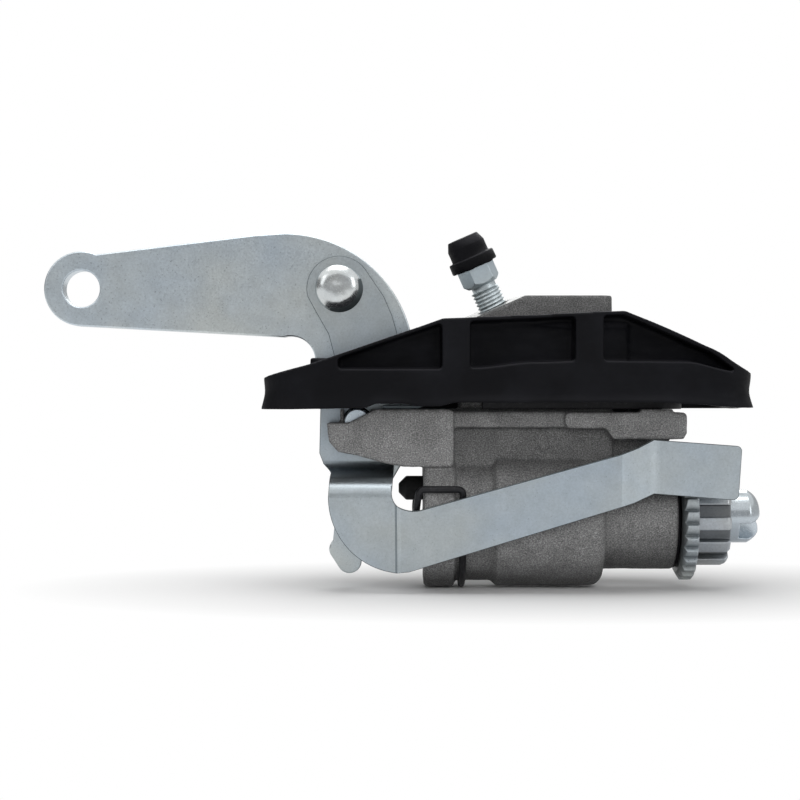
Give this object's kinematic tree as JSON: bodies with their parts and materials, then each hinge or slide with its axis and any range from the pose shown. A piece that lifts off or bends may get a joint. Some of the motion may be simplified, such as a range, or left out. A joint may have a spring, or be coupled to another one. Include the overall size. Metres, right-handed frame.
{
  "type": "brake wheel cylinder",
  "caption": "Drum brake wheel cylinder with a handbrake lever, ratchet adjuster, slotted tappet, bleed screw and rubber back plate boot.",
  "frame": {"origin": "middle of the casting's seat on the back plate, on the plane of the seat", "axes": "+X along the bore towards the tappet, +Z out through the back plate towards the bleed screw, +Y away from the side with the adjuster arm"},
  "size_m": [0.1898, 0.0487, 0.0946],
  "materials": {
    "sand_cast_iron": "bare grey iron with a sandy cast skin",
    "boot_rubber": "moulded black rubber",
    "cap_rubber": "moulded black rubber",
    "black_steel": "black phosphated steel",
    "zinc_plate": "blue zinc plating on rolled steel",
    "bright_pin": "bright zinc",
    "bright_rivet": "bright zinc on a formed head",
    "bright_tappet": "bright zinc on turned steel",
    "black_plastic": "black moulded plastic",
    "machined_alloy": "turned alloy",
    "sintered_steel": "plated sintered steel",
    "zinc_screw": "bright zinc on steel"
  },
  "bodies": {
    "root": {"cylinder_body": "sand_cast_iron", "rubber_boot": "boot_rubber", "distance_plate": "black_steel", "spring_plate": "zinc_plate", "pivot_pin": "bright_pin", "wire_clip": "black_steel", "stop_button": "black_plastic", "dust_seal": "boot_rubber", "piston_spring": "bright_pin"},
    "lever": {"handbrake_lever": "zinc_plate", "adjuster_arm": "zinc_plate", "lever_rivet": "bright_rivet"},
    "piston": {"piston": "machined_alloy", "piston_seal": "boot_rubber", "sleeve_snap_ring": "black_steel", "thrust_washer": "zinc_plate", "spring_seat": "machined_alloy"},
    "adjuster": {"ratchet_wheel": "sintered_steel", "adjuster_sleeve": "sintered_steel"},
    "tappet": {"tappet": "bright_tappet"},
    "bleed_screw": {"bleed_screw": "zinc_screw"},
    "bleed_cap": {"bleed_screw_cap": "cap_rubber"}
  },
  "joints": [
    {"name": "lever_pivot", "type": "hinge", "parent": "root", "child": "lever", "pos_m": [-0.0397, 0, -0.0032], "axis": [0, 1, 0], "range_deg": [0, 12]},
    {"name": "piston_slide", "type": "slide", "parent": "root", "child": "piston", "axis": [1, 0, 0], "range_m": [0, 0.008]},
    {"name": "ratchet_spin", "type": "hinge", "parent": "piston", "child": "adjuster", "pos_m": [0.0467, 0, -0.0285], "axis": [1, 0, 0], "range_deg": [0, 2160]},
    {"name": "tappet_slide", "type": "slide", "parent": "piston", "child": "tappet", "axis": [1, 0, 0], "range_m": [0, 0.0076]},
    {"name": "bleed_screw_turn", "type": "hinge", "parent": "root", "child": "bleed_screw", "pos_m": [-0.0038, 0, 0.0271], "axis": [-0.4052, -0.0872, 0.9101], "range_deg": [0, 360]},
    {"name": "bleed_cap_pull", "type": "slide", "parent": "bleed_screw", "child": "bleed_cap", "axis": [-0.4052, -0.0872, 0.9101], "range_m": [0, 0.012]}
  ],
  "couplings": [
    {"joint": "tappet_slide", "follows": "ratchet_spin", "m_per_rad": 0.00019894}
  ]
}
